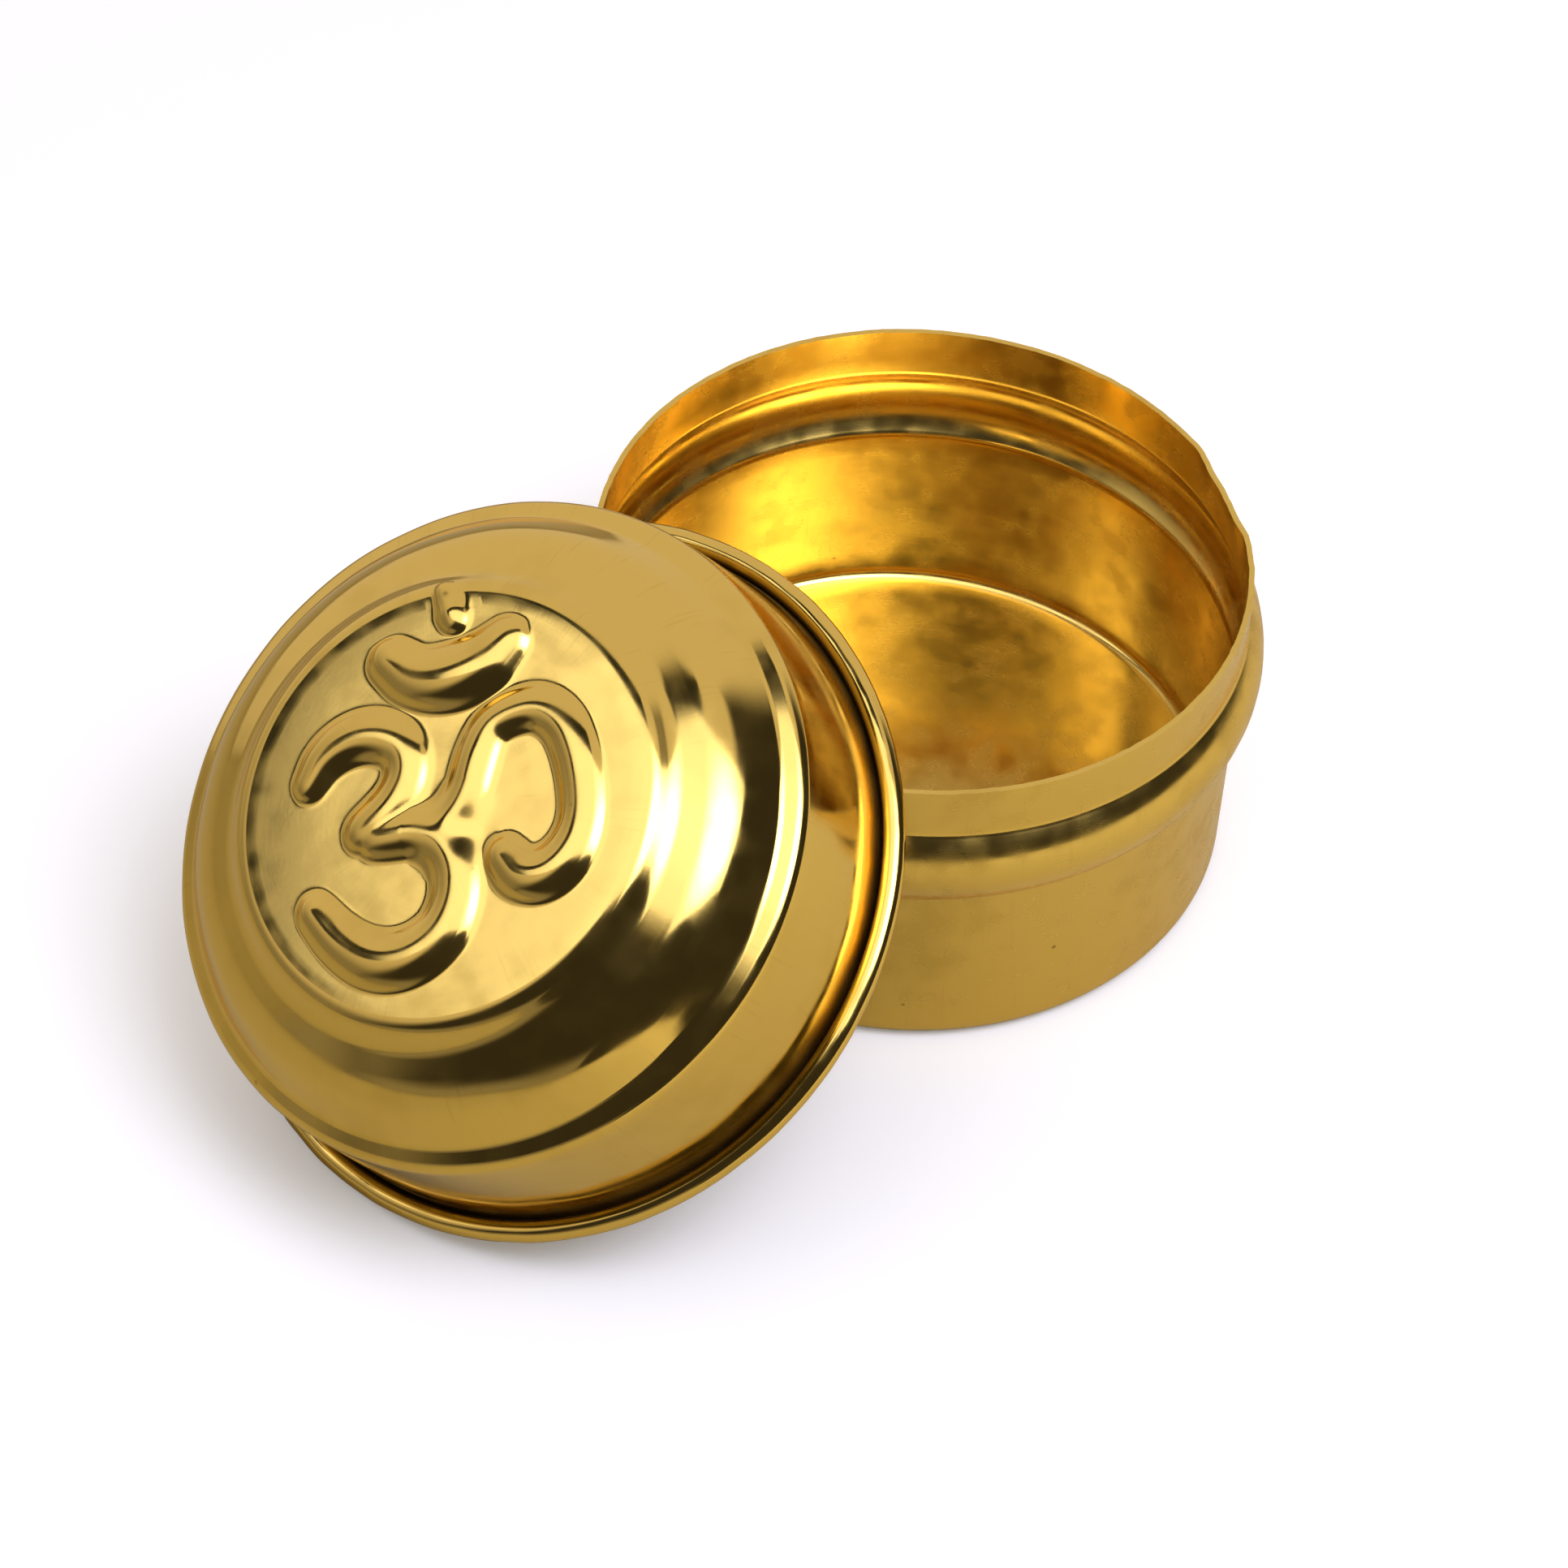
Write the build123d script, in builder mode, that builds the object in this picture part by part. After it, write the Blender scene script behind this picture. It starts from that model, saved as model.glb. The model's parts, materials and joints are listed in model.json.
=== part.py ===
"""Kumkum box: a drawn brass cup and its pressed brass lid, which leans open against the cup.

Millimetres. The cup stands at the origin with +Z up, and the lid leans on its rim from the -X side.
"""

import math
import os

from build123d import *

# Both pieces are pressed from one gauge of brass sheet.
sheet = 0.4

# Cup: a straight neck over a rolled-out bead and a straight body.
neck_radius = 24.0
cup_height = 26.1
cup_corner = 1.3
body_height = 15.3
bead_height = 6.6
bead_bulge = 1.45
bead_blend = 0.6

# Lid, from its mouth upwards: curled edge, skirt, sloping ring, wall, broad round shoulder and raised plateau.
lid_slip = 0.25
curl_radius = 0.8
curl_reach = 0.95
curl_turn = 280
foot_fillet = 0.5
skirt_height = 12.35
skirt_draft = 0.65
ring_width = 1.55
ring_drop = 0.62
ring_corner = 1.05
wall_height = 3.33
wall_draft = 2.15
wall_foot = 0.95
shoulder_width = 3.45
shoulder_drop = 1.35
shoulder_round = 5.7
plateau_height = 1.25
slope_width = 1.25
slope_foot = 2.8
slope_edge = 1.8

# Raised sign on the plateau: its strokes, their height and the bare margin round it.
sign_margin = 1.1
upper_half, upper_height = 1.75, 0.7
lower_half, lower_height = 1.95, 0.8
tail_half, tail_height = 1.8, 0.7
crescent_half, crescent_height = 2.1, 0.9
dot_half, dot_height = 1.35, 0.7

# The lid leans on the cup: its tilt, the direction of the sign's upright and the gap left at the rim.
lean_angle = 35.4
sign_heading = 60.0
lean_gap = 0.1

# Radii and heights that follow from the sizes above.
skirt_radius = neck_radius + lid_slip + sheet
skirt_top_radius = skirt_radius - skirt_draft
wall_foot_radius = skirt_top_radius - ring_width
shoulder_radius = wall_foot_radius - wall_draft
slope_radius = shoulder_radius - shoulder_width
plateau_radius = slope_radius - slope_width
ring_level = skirt_height + ring_drop
shoulder_level = ring_level + wall_height
slope_level = shoulder_level + shoulder_drop
plateau_level = slope_level + plateau_height
curl_centre = skirt_radius + curl_reach
bead_level = body_height + bead_height


def rim_gap(lid_x, lid_z, tilt):
    """Least gap between the cup's rim and the underside of the lid's mouth, with the lid at this place."""
    foot_round = foot_fillet + sheet
    foot_centre = skirt_radius + foot_fillet
    least = math.inf
    for edge_radius in (neck_radius, neck_radius - sheet):
        for step in range(1440):
            turn = 2 * math.pi * step / 1440
            x = edge_radius * math.cos(turn) - lid_x
            y = edge_radius * math.sin(turn)
            z = cup_height - lid_z
            level = z * math.cos(tilt) - x * math.sin(tilt)
            radius = math.hypot(x * math.cos(tilt) + z * math.sin(tilt), y)
            gap_foot = math.hypot(radius - foot_centre, level - foot_round) - foot_round
            gap_curl = math.hypot(radius - curl_centre, level - curl_radius) - curl_radius
            least = min(least, gap_foot, gap_curl)
    return least


# The curl's lowest point stands on the floor, and the lid is brought up to the cup until its mouth meets the rim.
tilt = math.radians(lean_angle)
lid_z = curl_centre * math.sin(tilt) + curl_radius * (1 - math.cos(tilt))
far_x = -2 * (curl_centre + neck_radius)
near_x = -neck_radius
for halving in range(40):
    middle_x = (far_x + near_x) / 2
    if rim_gap(middle_x, lid_z, tilt) > lean_gap:
        far_x = middle_x
    else:
        near_x = middle_x
lid_x = far_x

lid_axis = Vector(-math.sin(tilt), 0, math.cos(tilt))
upslope = Vector(math.cos(tilt), 0, math.sin(tilt))
sign_turn = math.radians(sign_heading - 90)
sign_right = upslope * math.cos(sign_turn) + Vector(0, 1, 0) * math.sin(sign_turn)
mouth = Plane(origin=(lid_x, 0, lid_z), x_dir=sign_right, z_dir=lid_axis)
section = Plane(origin=mouth.origin, x_dir=mouth.x_dir, z_dir=-mouth.y_dir)

# Cup: one sheet from the middle of the base out to the corner, up the body, round the bead and up the neck.
with BuildPart() as cup:
    with BuildSketch(Plane.XZ):
        with BuildLine() as wall:
            FilletPolyline((0, 0), (neck_radius, 0), (neck_radius, body_height), radius=cup_corner)
            SagittaArc((neck_radius, body_height), (neck_radius, bead_level), -bead_bulge)
            Line((neck_radius, bead_level), (neck_radius, cup_height))
            creases = wall.vertices().filter_by_position(Axis.Y, body_height, bead_level)
            fillet(creases, radius=bead_blend)
            offset(amount=sheet, side=Side.LEFT)
        make_face()
    revolve(axis=Axis.Z)
cup.part.label = "cup"


# Sign: domed strokes that follow rounded lines across the plateau. A ridge stands on the sheet for each stroke, and
# a hollow of the same form, one sheet smaller, is its underside.
unit = (plateau_radius - sign_margin) / 15
upper_bowl = [(-9.0, 5.1), (-7.8, 6.9), (-1.25, 6.9), (-1.25, 0.6), (-5.4, 0.6)]
lower_bowl = [(-5.0, -0.4), (-0.1, -0.5), (-0.1, -9.75), (-7.8, -9.75), (-11.0, -4.2)]
tail = [(-3.0, -1.4), (0.9, -1.4), (5.0, 3.85), (10.5, 3.85), (10.5, -8.25), (3.7, -8.25), (3.7, -5.4)]
crescent = [(-0.4, 11.3), (1.2, 8.0), (7.7, 9.0)]
dot = [(4.6, 12.8)]
strokes = [upper_bowl, lower_bowl, tail, crescent, dot]
bends = [(2.6, 3.2, 2.8), (4.2, 4.4, 4.8), (3.0, 2.2, 3.0, 4.2, 2.4), (3.0,), ()]
halves = [upper_half, lower_half, tail_half, crescent_half, dot_half]
heights = [upper_height, lower_height, tail_height, crescent_height, dot_height]
ridges = []
hollows = []
for inset, pieces in ((0, ridges), (sheet, hollows)):
    ground = mouth.offset(plateau_level - sheet - inset)
    for points, radii, half, height in zip(strokes, bends, halves, heights):
        rise = height + sheet
        dome = (half**2 + height**2) / (2 * height) - inset
        chord = math.sqrt(rise * (2 * dome - rise))
        route = [ground.from_local_coords((x * unit, y * unit)) for x, y in points]
        with BuildPart() as stroke:
            if radii:
                with BuildLine() as path:
                    FilletPolyline(*route, radius=[bend * unit for bend in radii])
                heading = path.line % 0
                with BuildSketch(Plane(origin=route[0], x_dir=mouth.z_dir.cross(heading), z_dir=heading)):
                    with BuildLine():
                        ThreePointArc((chord, 0), (0, rise), (-chord, 0))
                        Line((-chord, 0), (chord, 0))
                    make_face()
                sweep(path=path.line)
            ends = [route[0], route[-1]] if radii else route
            for end in ends:
                with BuildSketch(Plane(origin=end, x_dir=mouth.x_dir, z_dir=-mouth.y_dir)):
                    with BuildLine():
                        RadiusArc((chord, 0), (0, rise), -dome)
                        Polyline((0, rise), (0, 0), (chord, 0))
                    make_face()
                revolve(axis=Axis(end, mouth.z_dir))
        pieces.append(stroke.part)

# Lid: one sheet from the middle of the plateau down the steps and the skirt, out and round into the curled edge.
with BuildPart() as lid:
    with BuildSketch(section):
        with BuildLine():
            FilletPolyline(
                (0, plateau_level),
                (plateau_radius, plateau_level),
                (slope_radius, slope_level),
                (shoulder_radius, shoulder_level),
                (wall_foot_radius, ring_level),
                (skirt_top_radius, skirt_height),
                (skirt_radius, sheet),
                (curl_centre, sheet),
                radius=[slope_edge, slope_foot, shoulder_round, wall_foot, ring_corner, foot_fillet],
            )
            offset(amount=sheet, side=Side.RIGHT)
        make_face()
        with BuildLine():
            inside = CenterArc((curl_centre, curl_radius), curl_radius - sheet, -90, curl_turn)
            outside = CenterArc((curl_centre, curl_radius), curl_radius, -90, curl_turn)
            Line(inside @ 0, outside @ 0)
            Line(inside @ 1, outside @ 1)
        make_face()
    revolve(axis=Axis(mouth.origin, mouth.z_dir))
    for ridge in ridges:
        add(ridge)
    for hollow in hollows:
        add(hollow, mode=Mode.SUBTRACT)
lid.part.label = "lid"

os.makedirs("parts", exist_ok=True)
export_step(cup.part, "parts/cup.step")
export_step(lid.part, "parts/lid.step")
print("lid mouth at x", round(lid_x, 3), "z", round(lid_z, 3), "lean", lean_angle)
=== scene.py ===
"""Kumkum box of polished brass: a drawn cup, and its loose pressed lid, which leans open on the cup."""

import json
import math

import bpy
from mathutils import Matrix, Vector

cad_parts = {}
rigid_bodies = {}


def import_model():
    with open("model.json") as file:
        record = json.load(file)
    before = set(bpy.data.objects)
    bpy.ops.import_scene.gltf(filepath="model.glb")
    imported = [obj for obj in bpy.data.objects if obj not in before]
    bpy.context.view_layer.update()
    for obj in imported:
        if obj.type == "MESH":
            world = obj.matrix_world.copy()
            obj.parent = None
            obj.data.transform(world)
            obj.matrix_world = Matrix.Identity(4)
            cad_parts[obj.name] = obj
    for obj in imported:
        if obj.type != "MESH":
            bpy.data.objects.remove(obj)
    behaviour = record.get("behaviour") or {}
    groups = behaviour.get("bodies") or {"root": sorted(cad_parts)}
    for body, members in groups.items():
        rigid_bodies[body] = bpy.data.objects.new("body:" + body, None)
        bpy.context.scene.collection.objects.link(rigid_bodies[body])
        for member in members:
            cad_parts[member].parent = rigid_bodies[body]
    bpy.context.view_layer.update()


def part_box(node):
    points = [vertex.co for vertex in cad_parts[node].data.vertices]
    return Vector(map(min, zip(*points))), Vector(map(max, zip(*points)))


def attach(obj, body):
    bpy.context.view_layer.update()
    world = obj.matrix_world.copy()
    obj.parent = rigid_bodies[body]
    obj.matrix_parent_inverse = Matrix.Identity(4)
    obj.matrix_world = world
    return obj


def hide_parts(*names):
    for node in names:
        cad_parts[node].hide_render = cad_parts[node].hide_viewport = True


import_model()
bpy.ops.object.select_all(action="DESELECT")

# Cup: one thin brass sheet, drawn to a straight-sided pot with a flat base. A bead is rolled out of the wall
# to stop the lid, and the neck above it ends in a bare cut rim.
mm = 0.001
cup_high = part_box("cup")[1]
sheet = 0.4 * mm
neck_radius = 24.0 * mm
base_radius = 20.0 * mm
cup_height = cup_high.z
cup_corner = 1.3 * mm
body_height = 15.3 * mm
bead_height = 6.6 * mm
bead_bulge = cup_high.x - neck_radius
bead_blend = 0.6 * mm
bead_slope = math.radians(44)
bead_level = body_height + bead_height
bead_reach = bead_height / 2 * math.tan(bead_slope)
bead_round = (bead_reach - bead_bulge) / (1 / math.cos(bead_slope) - 1)
cup_wave_depth = 0.025 * mm
cup_wave_width = 9 * mm
rim_wave_depth = 0.12 * mm
rim_wave_width = 0.8 * mm
cup_crease = math.radians(55)
round_steps = 264


def rounded_line(corners, radii, turn=math.radians(9), run=1.5 * mm, fewest=3):
    """Points (radius, height) along the corners, with each inner corner rounded and long runs divided.

    A rounded corner has a step for each turn, and at least the fewest. Divided runs are about this long.
    """
    stops = [Vector(corners[0])]
    for corner, after, radius in zip(corners[1:], corners[2:], radii):
        corner = Vector(corner)
        back = (stops[-1] - corner).normalized()
        on = (Vector(after) - corner).normalized()
        half = back.angle(on) / 2
        centre = corner + (back + on).normalized() * (radius / math.sin(half))
        first = corner + back * (radius / math.tan(half)) - centre
        bend = math.pi - 2 * half
        if back.x * on.y - back.y * on.x > 0:
            bend = -bend
        steps = max(fewest, math.ceil(abs(bend) / turn))
        for step in range(steps + 1):
            stops.append(centre + Matrix.Rotation(bend * step / steps, 2) @ first)
    stops.append(Vector(corners[-1]))
    line = [stops[0]]
    for stop in stops[1:]:
        start = line[-1]
        parts = max(1, round((stop - start).length / run))
        line += [start.lerp(stop, part / parts) for part in range(1, parts + 1)]
    return line


def draw_out(line):
    """Draws the selected ring of edges out into a wall along this line of (radius, height) round Z."""
    for (radius, height), (next_radius, next_height) in zip(line, line[1:]):
        bpy.ops.mesh.extrude_region_move(TRANSFORM_OT_translate={"value": (0, 0, next_height - height)})
        grow = next_radius / radius
        bpy.ops.transform.resize(value=(grow, grow, 1), center_override=(0, 0, next_height))


def drawn_shell(name, radius, level, line):
    """New shell with no thickness yet: a flat disc at this level, drawn out along the line from its edge."""
    bpy.ops.object.select_all(action="DESELECT")
    bpy.ops.mesh.primitive_circle_add(vertices=round_steps, radius=radius, location=(0, 0, level))
    shell = bpy.context.object
    shell.name = name
    bpy.ops.object.transform_apply(location=True, rotation=True, scale=True)
    bpy.ops.object.mode_set(mode="EDIT")
    bpy.ops.mesh.select_mode(type="EDGE")
    bpy.ops.mesh.fill_grid(span=round_steps // 4)
    bpy.ops.mesh.select_all(action="DESELECT")
    bpy.ops.mesh.select_non_manifold()
    draw_out(line)
    bpy.ops.mesh.select_all(action="SELECT")
    bpy.ops.mesh.normals_make_consistent(inside=False)
    bpy.ops.object.mode_set(mode="OBJECT")
    return shell


def select_where(piece, wanted):
    """Selects the vertices of the piece, open in edit mode, whose place passes the test."""
    bpy.ops.mesh.select_all(action="DESELECT")
    bpy.ops.object.mode_set(mode="OBJECT")
    for vertex in piece.data.vertices:
        vertex.select = wanted(vertex.co)
    bpy.ops.object.mode_set(mode="EDIT")


def uneven(piece, depth, width, group=""):
    """Lets the sheet wander inwards by up to this depth, in soft waves of this width, as hand work does.

    A depth below zero moves it the other way, which is inwards for the curl, whose faces look into the roll.
    """
    waves = bpy.data.textures.new(piece.name + "_waves", "CLOUDS")
    waves.noise_scale = width
    waves.noise_depth = 1
    wander = piece.modifiers.new("wander", "DISPLACE")
    wander.texture = waves
    wander.texture_coords = "LOCAL"
    wander.strength = depth
    wander.mid_level = 1.0
    wander.vertex_group = group
    bpy.ops.object.modifier_apply(modifier=wander.name)


def thicken(piece):
    """Gives the piece its sheet thickness, away from its faces, with a finish of its own on that side."""
    wall = piece.modifiers.new("wall", "SOLIDIFY")
    wall.thickness = sheet
    wall.offset = -1
    wall.use_even_offset = True
    wall.material_offset = 1
    bpy.ops.object.modifier_apply(modifier=wall.name)


cup_line = rounded_line(
    [
        (base_radius, 0),
        (neck_radius, 0),
        (neck_radius, body_height),
        (neck_radius + bead_reach, body_height + bead_height / 2),
        (neck_radius, bead_level),
        (neck_radius, cup_height),
    ],
    [cup_corner, bead_blend, bead_round, bead_blend],
)
cup = drawn_shell("cup_shell", base_radius, 0, cup_line)
rim = cup.vertex_groups.new(name="rim")
rim_low = cup_height - sheet / 4
rim.add([vertex.index for vertex in cup.data.vertices if vertex.co.z > rim_low], 1.0, "REPLACE")
uneven(cup, cup_wave_depth, cup_wave_width)
uneven(cup, rim_wave_depth, rim_wave_width, "rim")

# A knock has flattened a short piece of the rim on the side away from the lid.
knock_heading = math.radians(-25)
knock_span = math.radians(8)
knock_depth = 0.45 * mm
knock_fade = 2.5 * mm
knock_low = cup_height - 1 * mm
knock_side = Vector((math.cos(knock_heading), math.sin(knock_heading)))
knock_edge = neck_radius * math.cos(knock_span)
bpy.ops.object.mode_set(mode="EDIT")
bpy.ops.mesh.select_mode(type="VERT")
select_where(cup, lambda place: place.z > knock_low and place.xy.dot(knock_side) > knock_edge)
bpy.ops.transform.translate(
    value=-knock_depth * knock_side.to_3d(),
    use_proportional_edit=True,
    proportional_edit_falloff="LINEAR",
    proportional_size=knock_fade,
)
bpy.ops.object.mode_set(mode="OBJECT")
thicken(cup)
bpy.ops.object.shade_smooth_by_angle(angle=cup_crease)


def feed(socket, value):
    """Links another node's socket to this one, or sets this one to a plain value."""
    if isinstance(value, bpy.types.NodeSocket):
        socket.id_data.links.new(value, socket)
    else:
        socket.default_value = value


def add(tree, kind, **sockets):
    """New node in the tree, its sockets fed by their names, with an underscore for each blank."""
    node = tree.nodes.new(kind)
    for name, value in sockets.items():
        feed(node.inputs[name.replace("_", " ")], value)
    return node


def work(tree, operation, first, second=0.0):
    """Socket with the result of one sum on two values, each a socket or a number."""
    node = tree.nodes.new("ShaderNodeMath")
    node.operation = operation
    feed(node.inputs[0], first)
    feed(node.inputs[1], second)
    return node.outputs["Value"]


def plus(tree, total, value, share):
    """Socket with a total and a share of another value."""
    return work(tree, "ADD", total, work(tree, "MULTIPLY", value, share))


def between(tree, value, low, high, start=0.0, end=1.0, way="SMOOTHSTEP"):
    """Socket that goes from start to end while the value goes from low to high, and stays there beyond."""
    ends = {"From_Min": low, "From_Max": high, "To_Min": start, "To_Max": end}
    node = add(tree, "ShaderNodeMapRange", Value=value, **ends)
    node.interpolation_type = way
    return node.outputs["Result"]


def grain(tree, vector, fineness, detail):
    """Socket with soft noise that has about this many patches in a metre."""
    return add(tree, "ShaderNodeTexNoise", Vector=vector, Scale=fineness, Detail=detail).outputs["Fac"]


def tinted(tree, factor, first, second):
    """Socket with the first colour where the factor is 0 and the second where it is 1."""
    node = tree.nodes.new("ShaderNodeMix")
    node.data_type = "RGBA"
    for socket, value in zip((node.inputs[0], node.inputs[6], node.inputs[7]), (factor, first, second)):
        feed(socket, value)
    return node.outputs[2]


def brass(name, turned, colour, roughness, brushed, stained, dark_foot_radius=0.0):
    """Worn brass: polish, ring lines, scratches, stains, specks, dirt and painted shade, laid out round the
    axis of the piece.

    Turned is the matrix that placed the piece. Brushed and stained say how strong its ring lines and its
    stains are. Grime and painted shade darken the lowest millimetres inside the dark foot radius, where there
    is one.
    """
    material = bpy.data.materials.new(name)
    material.use_nodes = True
    tree = material.node_tree
    shader = tree.nodes["Principled BSDF"]
    feed(shader.inputs["Metallic"], 1.0)

    # Places on the piece as it stood upright, before it was placed.
    upright = turned.inverted()
    own = add(
        tree,
        "ShaderNodeMapping",
        Vector=add(tree, "ShaderNodeTexCoord").outputs["Object"],
        Location=upright.to_translation(),
        Rotation=upright.to_euler(),
    ).outputs["Vector"]
    apart = add(tree, "ShaderNodeSeparateXYZ", Vector=own).outputs
    turn = work(tree, "ARCTAN2", apart["Y"], apart["X"])
    square = work(tree, "MULTIPLY", apart["X"], apart["X"])
    square = work(tree, "ADD", square, work(tree, "MULTIPLY", apart["Y"], apart["Y"]))
    radius = work(tree, "SQRT", square)
    along = work(tree, "SUBTRACT", apart["Z"], radius)

    # Ring lines run round the axis and scratches run up the sheet, each a noise that is stretched that way.
    ring_stretch = 0.0008
    scratch_turn = 0.024
    scratch_stretch = 0.05
    ring_turn = work(tree, "MULTIPLY", turn, ring_stretch)
    rings = add(tree, "ShaderNodeCombineXYZ", X=ring_turn, Y=along, Z=apart["Z"]).outputs["Vector"]
    drawn = add(
        tree,
        "ShaderNodeCombineXYZ",
        X=work(tree, "MULTIPLY", turn, scratch_turn),
        Y=work(tree, "MULTIPLY", along, scratch_stretch),
    ).outputs["Vector"]
    ring_lines = grain(tree, rings, fineness=5200.0, detail=3.0)
    draw_lines = grain(tree, drawn, fineness=2600.0, detail=2.0)
    scratches = between(tree, draw_lines, 0.6, 0.75)

    # Stains are wide patches with finer ones in them, and dirt with painted shade keeps to the hollows and
    # creases.
    blotch = grain(tree, own, fineness=95.0, detail=2.0)
    mottle = grain(tree, own, fineness=420.0, detail=1.5)
    dust = grain(tree, own, fineness=2600.0, detail=3.0)
    stain = between(tree, plus(tree, work(tree, "MULTIPLY", blotch, 0.7), mottle, 0.3), 0.5, 0.72)
    # Painted shade: concave creases and hollows are darkened through the pointiness, together with dirt.
    hollow = between(tree, add(tree, "ShaderNodeNewGeometry").outputs["Pointiness"], 0.47, 0.40)
    dirt_and_shade = work(tree, "MULTIPLY", hollow, between(tree, mottle, 0.3, 0.62))
    # Painted shade with grime: the lowest millimetres of the skirt, in the groove over the curl, are
    # darkened.
    if dark_foot_radius:
        dark_foot_fade = 0.3 * mm
        dark_foot_low = 1.5 * mm
        dark_foot_high = 3.2 * mm
        inner = between(tree, radius, dark_foot_radius + dark_foot_fade, dark_foot_radius)
        grime_and_shade = work(tree, "MULTIPLY", inner, between(tree, apart["Z"], dark_foot_high, dark_foot_low))
        grime_and_shade = work(tree, "MULTIPLY", grime_and_shade, between(tree, mottle, 0.1, 0.5, 0.6, 1.0))
        dirt_and_shade = work(tree, "MAXIMUM", dirt_and_shade, grime_and_shade)

    # Specks stand in the middle of a few of the cells that the sheet is divided into.
    speck_fineness = 430.0
    cells = add(tree, "ShaderNodeTexVoronoi", Vector=own, Scale=speck_fineness).outputs
    chance = add(tree, "ShaderNodeSeparateColor", Color=cells["Color"]).outputs["Red"]
    few = between(tree, chance, 0.93, 0.95)
    specks = work(tree, "MULTIPLY", between(tree, cells["Distance"], 0.1, 0.05), few)

    # Colour: clean metal, duller in stains and scratches, dark in dirt with painted shade and in specks.
    red, green, blue = colour
    dull = (red * 0.74, green * 0.70, blue * 0.55, 1)
    dark = (red * 0.2, green * 0.16, blue * 0.12, 1)
    face = tinted(tree, work(tree, "MULTIPLY", stain, 0.6 * stained), (red, green, blue, 1), dull)
    face = tinted(tree, work(tree, "MULTIPLY", scratches, 0.22), face, dull)
    face = tinted(tree, work(tree, "MULTIPLY", dirt_and_shade, 0.75), face, dark)
    face = tinted(tree, work(tree, "MULTIPLY", specks, 0.7 * stained), face, dark)
    feed(shader.inputs["Base Color"], face)

    # Polish: uneven by the mottle, and rougher in stains, in the dirty and shaded hollows and in ring lines.
    rough = between(tree, mottle, 0.3, 0.7, roughness * 0.75, roughness * 1.3)
    rough = plus(tree, rough, stain, 0.05 * stained)
    rough = plus(tree, rough, dirt_and_shade, 0.3)
    rough = work(tree, "ADD", rough, between(tree, ring_lines, 0.4, 0.7, 0.0, 0.1 * brushed))
    feed(shader.inputs["Roughness"], rough)

    # Relief: the lines and the dust stand up a little, and specks are shallow pits.
    relief = 0.004 * mm
    height = work(tree, "MULTIPLY", ring_lines, brushed)
    height = plus(tree, height, draw_lines, 0.35)
    height = plus(tree, height, dust, 0.35)
    height = plus(tree, height, specks, -0.4)
    bump = add(tree, "ShaderNodeBump", Strength=0.35, Distance=relief, Height=height)
    feed(shader.inputs["Normal"], bump.outputs["Normal"])
    return material


polish = (0.90, 0.63, 0.145)
cup_place = Matrix.Identity(4)
cup_outside = brass("cup_brass", cup_place, polish, roughness=0.21, brushed=0.25, stained=0.9)
cup_inside = brass("cup_brass_inside", cup_place, polish, roughness=0.34, brushed=0.9, stained=0.2)
cup.data.materials.append(cup_outside)
cup.data.materials.append(cup_inside)
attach(cup, "cup")
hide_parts("cup")

# Lid: one brass sheet pressed over a die, with a skirt that slips over the neck, a ring, a rounded shoulder
# and a raised plateau that carries the sign. Its mouth is turned out and rolled into a hollow curled edge.
lid_low, lid_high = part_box("lid")
lid_slip = 0.25 * mm
curl_radius = 0.8 * mm
curl_reach = 0.95 * mm
curl_turn = math.radians(280)
foot_fillet = 0.5 * mm
skirt_height = 12.35 * mm
skirt_draft = 0.65 * mm
ring_width = 1.55 * mm
ring_drop = 0.62 * mm
ring_corner = 1.05 * mm
wall_height = 3.33 * mm
wall_draft = 2.15 * mm
wall_foot = 0.95 * mm
shoulder_width = 3.45 * mm
shoulder_drop = 1.35 * mm
shoulder_round = 5.7 * mm
plateau_height = 1.25 * mm
slope_width = 1.25 * mm
slope_foot = 2.8 * mm
slope_edge = 1.8 * mm
lean = math.radians(35.4)
sign_heading = math.radians(60)
skirt_radius = neck_radius + lid_slip + sheet
skirt_top_radius = skirt_radius - skirt_draft
wall_foot_radius = skirt_top_radius - ring_width
shoulder_radius = wall_foot_radius - wall_draft
slope_radius = shoulder_radius - shoulder_width
plateau_radius = slope_radius - slope_width
ring_level = skirt_height + ring_drop
shoulder_level = ring_level + wall_height
slope_level = shoulder_level + shoulder_drop
plateau_level = slope_level + plateau_height
curl_centre = skirt_radius + curl_reach
curl_inside = curl_radius - sheet
curl_steps = 16
flat_radius = 14.0 * mm
lid_crease = math.radians(60)

lid_line = rounded_line(
    [
        (flat_radius, plateau_level),
        (plateau_radius, plateau_level),
        (slope_radius, slope_level),
        (shoulder_radius, shoulder_level),
        (wall_foot_radius, ring_level),
        (skirt_top_radius, skirt_height),
        (skirt_radius, sheet),
        (curl_centre, sheet),
    ],
    [slope_edge, slope_foot, shoulder_round, wall_foot, ring_corner, foot_fillet],
    turn=math.radians(6),
    run=1.2 * mm,
)
for step in range(1, curl_steps + 1):
    bend = curl_turn * step / curl_steps
    curl_out = curl_centre + curl_inside * math.sin(bend)
    curl_up = curl_radius - curl_inside * math.cos(bend)
    lid_line.append(Vector((curl_out, curl_up)))
lid = drawn_shell("lid_shell", flat_radius, plateau_level, lid_line)

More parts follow.
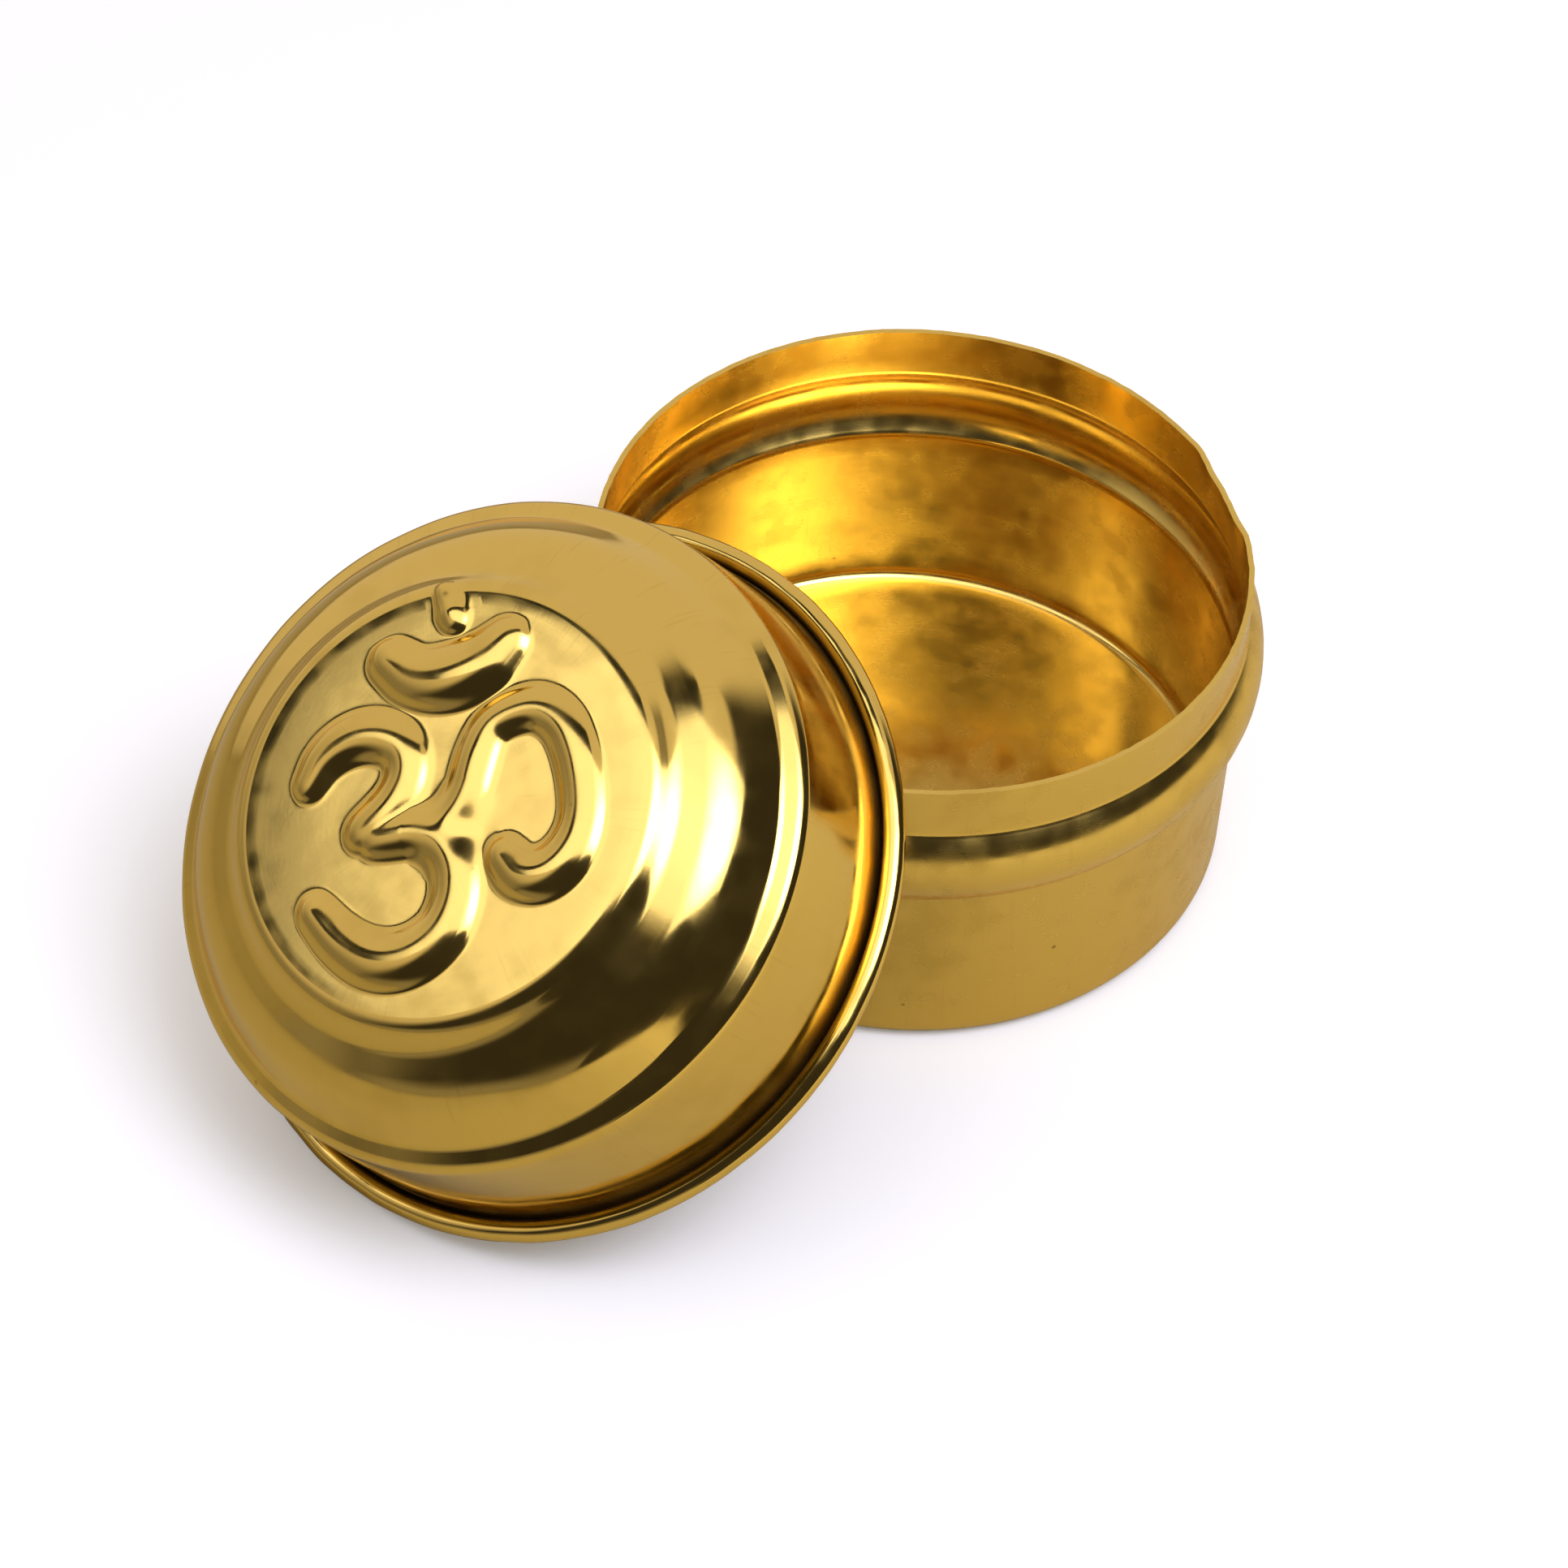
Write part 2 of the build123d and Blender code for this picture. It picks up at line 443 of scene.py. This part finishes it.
# Sign on the lid: its strokes stand on the pressing die as round-topped ridges, and the sheet is brought down
# over them. Each stroke is a list of places on the plateau with its half width there, in millimetres.
# Its height is a share of its half width, and a higher power gives it a broader top.
stroke_rise = 0.4
stroke_power = 2.4
stroke_sink = 0.06 * mm
sign_shift = Vector((-0.2 * mm, 0.12 * mm, 0))
upper_bowl = [
    (-8.6, 5.3, 1.45), (-7.0, 6.7, 1.8), (-4.7, 7.1, 2.0), (-2.7, 6.4, 2.0), (-1.3, 4.9, 1.85),
    (-1.4, 3.0, 1.8), (-2.7, 1.5, 1.8), (-4.2, 0.7, 1.85), (-5.5, 0.3, 1.75),
]
lower_bowl = [
    (-4.7, -0.6, 1.75), (-3.5, -0.9, 1.85), (-1.9, -1.3, 1.9), (-0.3, -2.7, 1.95), (0.15, -4.8, 1.95),
    (-0.4, -7.1, 2.0), (-2.1, -9.1, 2.15), (-4.8, -9.8, 2.3), (-7.3, -9.0, 2.25), (-9.3, -6.7, 1.95),
    (-10.5, -4.0, 1.7),
]
tail = [
    (-1.9, -1.2, 1.4), (0.3, -1.9, 1.75), (2.3, -0.3, 1.75), (3.6, 1.9, 1.8), (5.0, 3.6, 1.6),
    (6.8, 3.9, 1.65), (8.9, 3.5, 1.75), (10.3, 1.7, 1.8), (10.6, -0.6, 1.85), (10.4, -3.0, 1.8),
    (9.8, -5.4, 1.8), (8.4, -7.3, 2.0), (6.3, -8.2, 2.1), (4.5, -7.5, 2.0), (3.8, -5.9, 1.75),
]
crescent = [(-0.5, 11.1, 1.95), (0.8, 9.2, 2.3), (3.3, 8.1, 2.65), (5.8, 8.1, 2.55), (7.7, 8.9, 2.05)]
dot = [(4.65, 12.3, 1.3), (4.6, 12.9, 1.3), (4.5, 13.6, 1.0), (4.45, 14.3, 0.9)]
cap_steps = 3
cap_tip = 0.05
cut_steps = 20
ridge_steps = 16


def path_along(places):
    """New smooth path that follows these places, each an x, a y and a width, in millimetres."""
    bpy.ops.object.select_all(action="DESELECT")
    bpy.ops.curve.primitive_nurbs_path_add()
    path = bpy.context.object
    spline = path.data.splines[0]
    spline.points.add(len(places) - len(spline.points))
    for point, (x, y, width) in zip(spline.points, places):
        point.co = (x * mm, y * mm, 0, 1)
        point.radius = width
    spline.order_u = 3
    spline.use_endpoint_u = True
    return path


cut_places = []
for step in range(cut_steps + 1):
    reach = 2 * step / cut_steps - 1
    cut_places.append((reach, stroke_rise * (1 - abs(reach) ** stroke_power), 1.0))
cutter = path_along(cut_places)

die_parts = []
for stroke in (upper_bowl, lower_bowl, tail, crescent, dot):
    route = [Vector(place) for place in stroke]
    caps = []
    for end, inner in ((route[0], route[1]), (route[-1], route[-2])):
        outward = (end.xy - inner.xy).normalized()
        cap = []
        for step in range(1, cap_steps + 1):
            bend = math.pi / 2 * step / cap_steps
            place = (end.xy + outward * end.z * math.sin(bend)).to_3d()
            place.z = end.z * max(math.cos(bend), cap_tip)
            cap.append(place)
        caps.append(cap)
    ridge = path_along(caps[0][::-1] + route + caps[1])
    ridge.data.splines[0].resolution_u = ridge_steps
    ridge.data.twist_mode = "Z_UP"
    ridge.data.bevel_mode = "OBJECT"
    ridge.data.bevel_object = cutter
    bpy.ops.object.convert(target="MESH")
    bpy.ops.transform.translate(value=sign_shift + Vector((0, 0, plateau_level - stroke_sink)))
    bpy.ops.object.transform_apply(location=True, rotation=True, scale=True)
    die_parts.append(ridge)
bpy.data.objects.remove(cutter)

# The die is the lid's plateau and shoulder, with the ridges joined to it.
die_line = [point for point in lid_line if point.y > shoulder_level]
bpy.ops.object.select_all(action="DESELECT")
bpy.ops.mesh.primitive_circle_add(
    vertices=2 * round_steps, radius=flat_radius, fill_type="NGON", location=(0, 0, plateau_level)
)
die = bpy.context.object
bpy.ops.object.transform_apply(location=True, rotation=True, scale=True)
bpy.ops.object.mode_set(mode="EDIT")
bpy.ops.mesh.select_mode(type="EDGE")
bpy.ops.mesh.select_all(action="DESELECT")
bpy.ops.mesh.select_non_manifold()
draw_out(die_line)
bpy.ops.object.mode_set(mode="OBJECT")
for part in die_parts:
    part.select_set(True)
bpy.ops.object.join()

# Pressing: the sheet round the strokes is divided finer, lifted, brought down on the die and smoothed, most
# of all where the bowls and the tail join.
press_lift = 5 * mm
press_gap = 0.03 * mm
press_cuts = 2
sign_low = shoulder_level + 1 * mm
smoothing = 0.5
crest_smoothings = 6
joint_smoothings = 7
joint_reaches = (1.2 * mm, 1.6 * mm, 2.0 * mm, 2.4 * mm, 2.8 * mm, 3.2 * mm, 3.6 * mm)
joint = Vector((0.3 * mm, -2.2 * mm))


def under_stroke(place):
    """Whether a stroke of the die stands above this place of the sheet."""
    above = Vector((place.x, place.y, plateau_level + press_lift))
    struck, top = die.ray_cast(above, Vector((0, 0, -1)))[:2]
    return struck and top.z > place.z + press_gap


bpy.ops.object.select_all(action="DESELECT")
bpy.context.view_layer.objects.active = lid
lid.select_set(True)
bpy.ops.object.mode_set(mode="EDIT")
bpy.ops.mesh.select_mode(type="VERT")
select_where(lid, lambda place: place.z > sign_low and under_stroke(place))
bpy.ops.mesh.select_more()
bpy.ops.mesh.select_more()
bpy.ops.mesh.subdivide(number_cuts=press_cuts)
bpy.ops.object.mode_set(mode="OBJECT")
pressed = lid.vertex_groups.new(name="pressed")
pressed.add([vertex.index for vertex in lid.data.vertices if vertex.select], 1.0, "REPLACE")
bpy.ops.object.mode_set(mode="EDIT")
bpy.ops.transform.translate(value=(0, 0, press_lift))
bpy.ops.object.mode_set(mode="OBJECT")
press = lid.modifiers.new("press", "SHRINKWRAP")
press.target = die
press.wrap_method = "PROJECT"
press.use_project_z = True
press.use_negative_direction = True
press.use_positive_direction = False
press.vertex_group = pressed.name
bpy.ops.object.modifier_apply(modifier=press.name)
bpy.data.objects.remove(die)
bpy.ops.object.mode_set(mode="EDIT")
bpy.ops.mesh.select_less()
bpy.ops.mesh.vertices_smooth(factor=smoothing, repeat=crest_smoothings)
for joint_reach in joint_reaches:
    select_where(lid, lambda place: place.z > shoulder_level and (place.xy - joint).length < joint_reach)
    bpy.ops.mesh.vertices_smooth(factor=smoothing, repeat=joint_smoothings)
bpy.ops.mesh.select_all(action="SELECT")
bpy.ops.mesh.normals_make_consistent(inside=False)
bpy.ops.object.mode_set(mode="OBJECT")

# Hand work has left the sides and the curl uneven, fading out towards the plateau and the foot.
side_wave_depth = 0.11 * mm
side_wave_width = 7 * mm
curl_wave_depth = 0.12 * mm
curl_wave_width = 3 * mm
top_fade = 2.5 * mm
foot_fade = 3 * mm
curl_fade = 0.6 * mm
sides = lid.vertex_groups.new(name="sides")
curl = lid.vertex_groups.new(name="curl")
for vertex in lid.data.vertices:
    radius = vertex.co.xy.length
    off_top = (radius - plateau_radius) / top_fade
    off_foot = vertex.co.z / foot_fade
    off_skirt = (radius - skirt_radius - foot_fillet) / curl_fade
    sides.add([vertex.index], min(1.0, max(0.0, min(off_top, off_foot))), "REPLACE")
    curl.add([vertex.index], min(1.0, max(0.0, off_skirt)), "REPLACE")
uneven(lid, side_wave_depth, side_wave_width, "sides")
uneven(lid, -curl_wave_depth, curl_wave_width, "curl")
thicken(lid)
bpy.ops.object.shade_smooth_by_angle(angle=lid_crease)

# The finished lid is laid on the cup: its curl stands on the floor and its mouth on the rim.
lid_x = lid_high.x - curl_centre * math.cos(lean) - curl_radius * (1 - math.sin(lean))
lid_z = lid_low.z + curl_centre * math.sin(lean) + curl_radius * (1 - math.cos(lean))
lid_place = (
    Matrix.Translation((lid_x, 0, lid_z))
    @ Matrix.Rotation(-lean, 4, "Y")
    @ Matrix.Rotation(sign_heading - math.pi / 2, 4, "Z")
)
lid.data.transform(lid_place)
# The groove at the skirt's foot gets grime and painted shade, which darken its lowest millimetres.
groove_radius = skirt_radius + 0.2 * mm
lid_outside = brass(
    "lid_brass", lid_place, polish, roughness=0.11, brushed=0.12, stained=0.6, dark_foot_radius=groove_radius
)
lid_inside = brass("lid_brass_inside", lid_place, polish, roughness=0.3, brushed=0.9, stained=0.3)
lid.data.materials.append(lid_outside)
lid.data.materials.append(lid_inside)
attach(lid, "lid")
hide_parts("lid")

# Camera: a long lens on the box from above and in front of the lid's low side. Its place is a bearing, a
# height and a distance from the middle of the cup's base.
picture_side = 1932
focal_pixels = 6000
view_heading = math.radians(-44.434)
view_drop = math.radians(47.134)
view_roll = math.radians(3.505)
camera_bearing = math.radians(46.493)
camera_height = math.radians(47.167)
camera_distance = 371.17 * mm
camera_data = bpy.data.cameras.new("camera")
camera_data.sensor_width = 36
camera_data.lens = camera_data.sensor_width * focal_pixels / picture_side
camera = bpy.data.objects.new("camera", camera_data)
bpy.context.scene.collection.objects.link(camera)
camera_place = camera_distance * Vector(
    (
        -math.cos(camera_height) * math.sin(camera_bearing),
        -math.cos(camera_height) * math.cos(camera_bearing),
        math.sin(camera_height),
    )
)
camera.matrix_world = (
    Matrix.Translation(camera_place)
    @ Matrix.Rotation(view_heading, 4, "Z")
    @ Matrix.Rotation(math.pi / 2 - view_drop, 4, "X")
    @ Matrix.Rotation(view_roll, 4, "Z")
)
bpy.context.scene.camera = camera

# Floor: a plain white table top. The brass mirrors a greyer sheet that lies just above it, with painted shade
# that makes it darker to the left, and the camera doesn't see that sheet.
right = Vector((math.cos(view_heading), math.sin(view_heading), 0))
away = Vector((-math.sin(view_heading), math.cos(view_heading), 0))
floor_side = 6
floor_drop = 0.1 * mm
floor_white = (0.9, 0.9, 0.85)
floor_glow = 0.25
mirror_side = 1.6
mirror_drop = 0.05 * mm
mirror_left = (0.42, 0.375, 0.24, 1)
mirror_right = (0.64, 0.57, 0.37, 1)
mirror_reach = 70 * mm


def matt(name, colour, glow=0.0):
    """Matt paint of one colour, or a lit card of that colour."""
    material = bpy.data.materials.new(name)
    material.use_nodes = True
    sockets = material.node_tree.nodes["Principled BSDF"].inputs
    feed(sockets["Base Color"], (*colour, 1))
    feed(sockets["Roughness"], 0.9)
    feed(sockets["Specular IOR Level"], 0.0)
    feed(sockets["Emission Color"], (*colour, 1))
    feed(sockets["Emission Strength"], glow)
    return material


def part_along(tree, vector, direction):
    """Socket with how far a vector goes along this direction."""
    node = tree.nodes.new("ShaderNodeVectorMath")
    node.operation = "DOT_PRODUCT"
    feed(node.inputs[0], vector)
    feed(node.inputs[1], direction)
    return node.outputs["Value"]


def across_table(tree, low, high, start=0.0, end=1.0):
    """Socket that goes evenly from start to end between two places, from left to right across the table."""
    where = add(tree, "ShaderNodeTexCoord").outputs["Object"]
    return between(tree, part_along(tree, where, right), low, high, start, end, way="LINEAR")


bpy.ops.object.select_all(action="DESELECT")
bpy.ops.mesh.primitive_plane_add(size=floor_side, location=(0, 0, -floor_drop))
floor = bpy.context.object
floor.name = "floor"
floor.data.materials.append(matt("floor_white", floor_white, floor_glow))
floor.visible_glossy = False

bpy.ops.mesh.primitive_plane_add(size=mirror_side, location=(0, 0, -mirror_drop))
mirror_floor = bpy.context.object
mirror_floor.name = "mirror_floor"
# Painted shade: the mirrored table is grey, and darker to the left than to the right.
floor_grey = matt("floor_grey", (0, 0, 0))
tree = floor_grey.node_tree
tint = tinted(tree, across_table(tree, -mirror_reach, mirror_reach), mirror_left, mirror_right)
feed(tree.nodes["Principled BSDF"].inputs["Base Color"], tint)
mirror_floor.data.materials.append(floor_grey)
mirror_floor.visible_camera = False
mirror_floor.visible_diffuse = False
mirror_floor.visible_shadow = False

# Light: a soft box with a hot middle, above the table, to the right and on the camera's side. A paler lit
# sheet hangs beside it to the left, with a black card just above the sheet as its frame.
box_height = 0.6
box_length = 1.05 * box_height
box_width = 0.8 * box_height
box_right = 0.42 * box_height
box_near = 0.40 * box_height
box_colour = (1.0, 1.0, 1.25)
box_core = 7.0
box_edge = 1.6
core_reach = 0.15
edge_reach = 0.6


def glowing(name, colour):
    """Cloth or paper lit from behind: its material, and the socket that takes its strength."""
    material = bpy.data.materials.new(name)
    material.use_nodes = True
    tree = material.node_tree
    tree.nodes.clear()
    glow = add(tree, "ShaderNodeEmission", Color=(*colour, 1))
    add(tree, "ShaderNodeOutputMaterial", Surface=glow.outputs["Emission"])
    return material, glow.inputs["Strength"]


box_place = right * box_right - away * box_near + Vector((0, 0, box_height))
bpy.ops.mesh.primitive_plane_add(size=1, location=box_place, rotation=(0, 0, view_heading))
soft_box = bpy.context.object
soft_box.name = "soft_box"
soft_box.scale = (box_length, box_width, 1)
cloth, strength = glowing("soft_box_cloth", box_colour)
tree = cloth.node_tree
off_middle = tree.nodes.new("ShaderNodeVectorMath")
off_middle.operation = "LENGTH"
feed(off_middle.inputs[0], add(tree, "ShaderNodeTexCoord").outputs["Object"])
feed(strength, between(tree, off_middle.outputs["Value"], core_reach, edge_reach, box_core, box_edge))
soft_box.data.materials.append(cloth)
soft_box.visible_camera = False

# The corners of the sheet and the card go to the right and away, as shares of the soft box's height.
sheet_corners = [
    (-1.34, -0.21), (-1.315, -0.102), (-1.29, -0.06), (-1.273, -0.027), (-1.237, -0.003), (-1.168, 0.01),
    (0, 0.02), (0, -0.75),
]
frame_corners = [(-1.6, 0.2), (-1.6, -0.1), (0, -0.75), (0, 0.2)]
frame_gap = 2 * mm
frame_black = (0.02, 0.02, 0.02)
sheet_colour = (1.0, 0.98, 1.2)
sheet_dim = 0.88
sheet_bright = 1.45
dim_place = -1.33 * box_height
bright_place = -1.02 * box_height


def flat_card(name, corners, height):
    """New flat card with these corners, hung level at this height and out of the camera's sight."""
    bpy.ops.mesh.primitive_circle_add(vertices=len(corners), fill_type="NGON", location=(0, 0, height))
    card = bpy.context.object
    card.name = name
    for vertex, corner in zip(card.data.vertices, corners):
        vertex.co = (right * corner[0] + away * corner[1]) * box_height
    card.visible_camera = False
    return card


side_sheet = flat_card("side_sheet", sheet_corners, box_height)
paper, strength = glowing("side_sheet_paper", sheet_colour)
feed(strength, across_table(paper.node_tree, dim_place, bright_place, sheet_dim, sheet_bright))
side_sheet.data.materials.append(paper)

sheet_frame = flat_card("sheet_frame", frame_corners, box_height + frame_gap)
sheet_frame.data.materials.append(matt("sheet_frame_black", frame_black))
sheet_frame.visible_diffuse = False

# Tent: pale walls round the left and the back of the table, shaded low on the left, under a pale ceiling. It
# is dark from the front round to the right, apart from a faint low band at the front left.
tent_tint = (1.0, 0.90, 0.88)
wall_glow = 0.62
left_shade = 0.65
dark_glow = 0.035
low_glow = 0.22
left_side = math.radians(-118)
right_side = math.radians(52)
soft_side = math.radians(9)
shade_full_side = math.radians(-95)
shade_end_side = math.radians(-45)
shade_full_rise = math.sin(math.radians(12))
shade_end_rise = math.sin(math.radians(42))
ceiling_start = math.sin(math.radians(52))
ceiling_full = math.sin(math.radians(60))
band_full = math.sin(math.radians(3))
band_end = math.sin(math.radians(15))
world = bpy.data.worlds.new("tent")
bpy.context.scene.world = world
world.use_nodes = True
tree = world.node_tree
looked = add(tree, "ShaderNodeTexCoord").outputs["Generated"]
side = work(tree, "ARCTAN2", part_along(tree, looked, right), part_along(tree, looked, away))
rise = part_along(tree, looked, Vector((0, 0, 1)))
right_limit = between(tree, side, right_side - soft_side, right_side + soft_side, 1.0, 0.0)
left_limit = between(tree, side, left_side - soft_side, left_side + soft_side)
walls = work(tree, "MULTIPLY", left_limit, right_limit)
ceiling = between(tree, rise, ceiling_start, ceiling_full)
leftness = between(tree, side, shade_full_side, shade_end_side, 1.0, 0.0)
lowness = between(tree, rise, shade_full_rise, shade_end_rise, 1.0, 0.0)
shade = work(tree, "MULTIPLY", work(tree, "MULTIPLY", leftness, lowness), left_shade)
walls = work(tree, "MULTIPLY", walls, work(tree, "SUBTRACT", 1.0, shade))
lit = work(tree, "MULTIPLY", work(tree, "MAXIMUM", walls, ceiling), wall_glow)
low_band = between(tree, rise, band_full, band_end, 1.0, 0.0)
front_left = work(tree, "SUBTRACT", 1.0, left_limit)
low_lit = work(tree, "MULTIPLY", work(tree, "MULTIPLY", low_band, front_left), low_glow)
total = work(tree, "ADD", work(tree, "MAXIMUM", lit, low_lit), dark_glow)
feed(tree.nodes["Background"].inputs["Color"], (*tent_tint, 1))
feed(tree.nodes["Background"].inputs["Strength"], total)
bpy.context.scene.view_settings.view_transform = "Standard"
